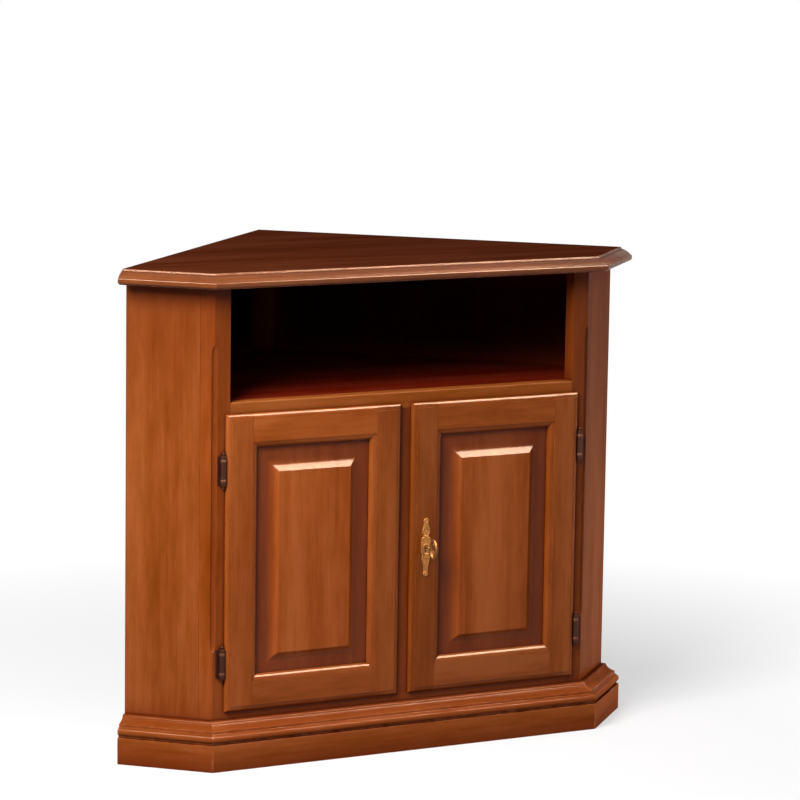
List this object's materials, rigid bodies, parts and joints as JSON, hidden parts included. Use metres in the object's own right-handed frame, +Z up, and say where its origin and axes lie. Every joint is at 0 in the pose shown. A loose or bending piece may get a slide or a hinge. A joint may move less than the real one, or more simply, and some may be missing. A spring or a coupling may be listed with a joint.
{
  "type": "corner tv cabinet",
  "caption": "Wooden corner television cabinet with an open shelf above a pair of raised-panel doors, a moulded base and a moulded top.",
  "frame": {"origin": "on the floor, in the middle of the whole object's width and depth", "axes": "+X to the viewer's right along the front, +Y from the front into the room corner, +Z up; both walls stand at 45 degrees to +Y"},
  "size_m": [0.9484, 0.602, 0.8],
  "materials": {
    "top_wood": "dark reddish lacquered cherry, semi-gloss",
    "carcass_wood": "lacquered cherry, semi-gloss",
    "base_wood": "lacquered cherry, semi-gloss",
    "door_wood": "lacquered cherry, semi-gloss",
    "panel_wood": "lacquered cherry, semi-gloss",
    "inside_wood": "plain stained wood and plywood, matt",
    "dark_bronze": "dark bronzed, rubbed on its rings",
    "old_brass": "antique brass, worn",
    "steel": "plain steel"
  },
  "bodies": {
    "carcass": {"back_panel_left": "inside_wood", "back_panel_right": "inside_wood", "base_moulding_front": "base_wood", "base_moulding_left": "base_wood", "base_moulding_right": "base_wood", "bottom_board": "inside_wood", "bottom_board_batten_left": "inside_wood", "bottom_board_batten_right": "inside_wood", "bottom_rail": "carcass_wood", "centre_stile": "carcass_wood", "corner_block_left": "inside_wood", "corner_block_right": "inside_wood", "corner_post_left": "carcass_wood", "corner_post_right": "carcass_wood", "inner_shelf": "inside_wood", "inner_shelf_batten_left": "inside_wood", "inner_shelf_batten_right": "inside_wood", "left_lower_frame_leaf": "dark_bronze", "left_lower_hinge_pin": "dark_bronze", "left_upper_frame_leaf": "dark_bronze", "left_upper_hinge_pin": "dark_bronze", "magnet_catch": "steel", "middle_shelf": "carcass_wood", "middle_shelf_batten_left": "inside_wood", "middle_shelf_batten_right": "inside_wood", "plinth_front": "base_wood", "plinth_left": "base_wood", "plinth_right": "base_wood", "rear_post": "inside_wood", "right_lower_frame_leaf": "dark_bronze", "right_lower_hinge_pin": "dark_bronze", "right_upper_frame_leaf": "dark_bronze", "right_upper_hinge_pin": "dark_bronze", "shelf_lipping": "carcass_wood", "side_panel_left": "carcass_wood", "side_panel_right": "carcass_wood", "strike_plate": "old_brass", "top_batten_left": "inside_wood", "top_batten_right": "inside_wood", "top_board": "top_wood"},
    "left_door": {"catch_plate": "steel", "left_door_bottom_rail": "door_wood", "left_door_hinge_stile": "door_wood", "left_door_meeting_stile": "door_wood", "left_door_panel": "panel_wood", "left_door_top_rail": "door_wood", "left_lower_door_leaf": "dark_bronze", "left_upper_door_leaf": "dark_bronze"},
    "right_door": {"escutcheon": "old_brass", "lock_case": "steel", "right_door_bottom_rail": "door_wood", "right_door_hinge_stile": "door_wood", "right_door_meeting_stile": "door_wood", "right_door_panel": "panel_wood", "right_door_top_rail": "door_wood", "right_lower_door_leaf": "dark_bronze", "right_upper_door_leaf": "dark_bronze"},
    "key": {"key": "old_brass"},
    "lock_bolt": {"lock_bolt": "old_brass"}
  },
  "joints": [
    {"name": "left_door_hinge", "type": "hinge", "parent": "carcass", "child": "left_door", "pos_m": [-0.3278, -0.25817, 0.332], "axis": [0, 0, -1], "range_deg": [0, 120]},
    {"name": "right_door_hinge", "type": "hinge", "parent": "carcass", "child": "right_door", "pos_m": [0.3278, -0.25817, 0.332], "axis": [0, 0, 1], "range_deg": [0, 120]},
    {"name": "key_turn", "type": "hinge", "parent": "right_door", "child": "key", "pos_m": [0.0362, -0.26447, 0.333], "axis": [0, -1, 0], "range_deg": [0, 360]},
    {"name": "bolt_slide", "type": "slide", "parent": "right_door", "child": "lock_bolt", "axis": [-1, 0, 0], "range_m": [0, 0.008]}
  ],
  "couplings": [
    {"joint": "bolt_slide", "follows": "key_turn", "m_per_rad": 0.001273}
  ]
}
